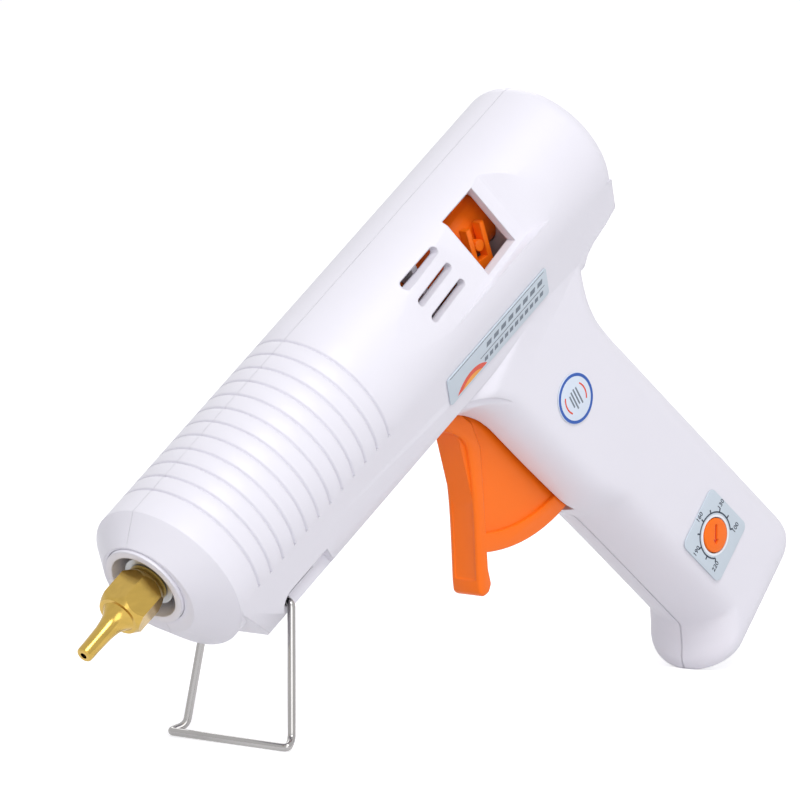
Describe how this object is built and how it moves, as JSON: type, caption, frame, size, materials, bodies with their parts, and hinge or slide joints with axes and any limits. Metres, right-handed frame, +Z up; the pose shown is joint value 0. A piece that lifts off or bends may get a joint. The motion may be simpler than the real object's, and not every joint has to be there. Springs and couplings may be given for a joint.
{
  "type": "hot glue applicator",
  "caption": "Pistol-grip hot glue applicator with a grooved round barrel, a trigger that feeds the stick, a brass nozzle, a temperature dial and a folding wire stand.",
  "frame": {"origin": "on the floor, below the middle of the bounding box, with the applicator standing on its wire foot and on the toe of its grip", "axes": "+Z up, +X towards the nozzle, +Y towards the side with the window and the dial; the barrel points 35 degrees below +X"},
  "size_m": [0.2582, 0.044, 0.1597],
  "materials": {
    "white_plastic": "satin moulded plastic",
    "orange_plastic": "smooth moulded plastic",
    "brass": "turned and bright",
    "cast_aluminium": "cast and machined",
    "ceramic": "unglazed ceramic",
    "steel": "plated",
    "silicone": "moulded silicone",
    "board_green": "coated laminate",
    "black_plastic": "moulded",
    "black_rubber": "moulded",
    "capacitor_red": "dipped",
    "terminal_blue": "moulded",
    "lead_red": "insulated wire",
    "label_film": "printed film",
    "badge_film": "printed film",
    "chrome_wire": "bright drawn wire"
  },
  "bodies": {
    "housing": {"housing_left": "white_plastic", "housing_right": "white_plastic", "nose_collar": "white_plastic", "nozzle": "brass", "melt_chamber": "cast_aluminium", "heater_cartridge": "ceramic", "sensor_band": "steel", "temperature_sensor": "ceramic", "feed_sleeve": "silicone", "sleeve_clamp": "steel", "trigger_axle": "steel", "return_spring": "steel", "control_board": "board_green", "potentiometer": "black_plastic", "power_device": "black_plastic", "capacitor": "capacitor_red", "terminal_block": "terminal_blue", "inlet_grommet": "black_rubber", "heater_lead_left": "lead_red", "heater_lead_right": "black_rubber", "nameplate": "label_film", "rating_badge": "badge_film", "dial_plate": "label_film", "housing_screw_1": "steel", "housing_screw_2": "steel", "housing_screw_3": "steel", "housing_screw_4": "steel", "housing_screw_5": "steel", "housing_screw_6": "steel", "housing_screw_7": "steel"},
    "trigger_body": {"trigger": "orange_plastic"},
    "carriage": {"feed_carriage": "orange_plastic", "jaw_pin": "steel"},
    "jaw": {"grip_jaw": "orange_plastic"},
    "stand": {"wire_stand": "chrome_wire"},
    "dial": {"dial_knob": "orange_plastic", "dial_shaft": "cast_aluminium"}
  },
  "joints": [
    {"name": "trigger_pull", "type": "hinge", "parent": "housing", "child": "trigger_body", "pos_m": [-0.01728, 0, 0.09081], "axis": [0, 1, 0], "range_deg": [0, 27], "stiffness_Nm_per_rad": 0.2, "springref_deg": -14.32},
    {"name": "carriage_slide", "type": "slide", "parent": "housing", "child": "carriage", "axis": [0.8186, 0, -0.5744], "range_m": [0, 0.0155]},
    {"name": "jaw_bite", "type": "hinge", "parent": "carriage", "child": "jaw", "pos_m": [-0.00359, 0, 0.1341], "axis": [0, 1, 0], "range_deg": [0, 4.1]},
    {"name": "stand_fold", "type": "hinge", "parent": "housing", "child": "stand", "pos_m": [0.06801, 0, 0.0367], "axis": [0, 1, 0], "range_deg": [0, 128]},
    {"name": "dial_turn", "type": "hinge", "parent": "housing", "child": "dial", "pos_m": [-0.09376, 0.014, 0.038], "axis": [0, 1, 0], "range_deg": [-140, 140]}
  ],
  "couplings": [
    {"joint": "carriage_slide", "follows": "trigger_pull", "m_per_rad": 0.0325},
    {"joint": "jaw_bite", "follows": "trigger_pull", "ratio": 0.148}
  ]
}
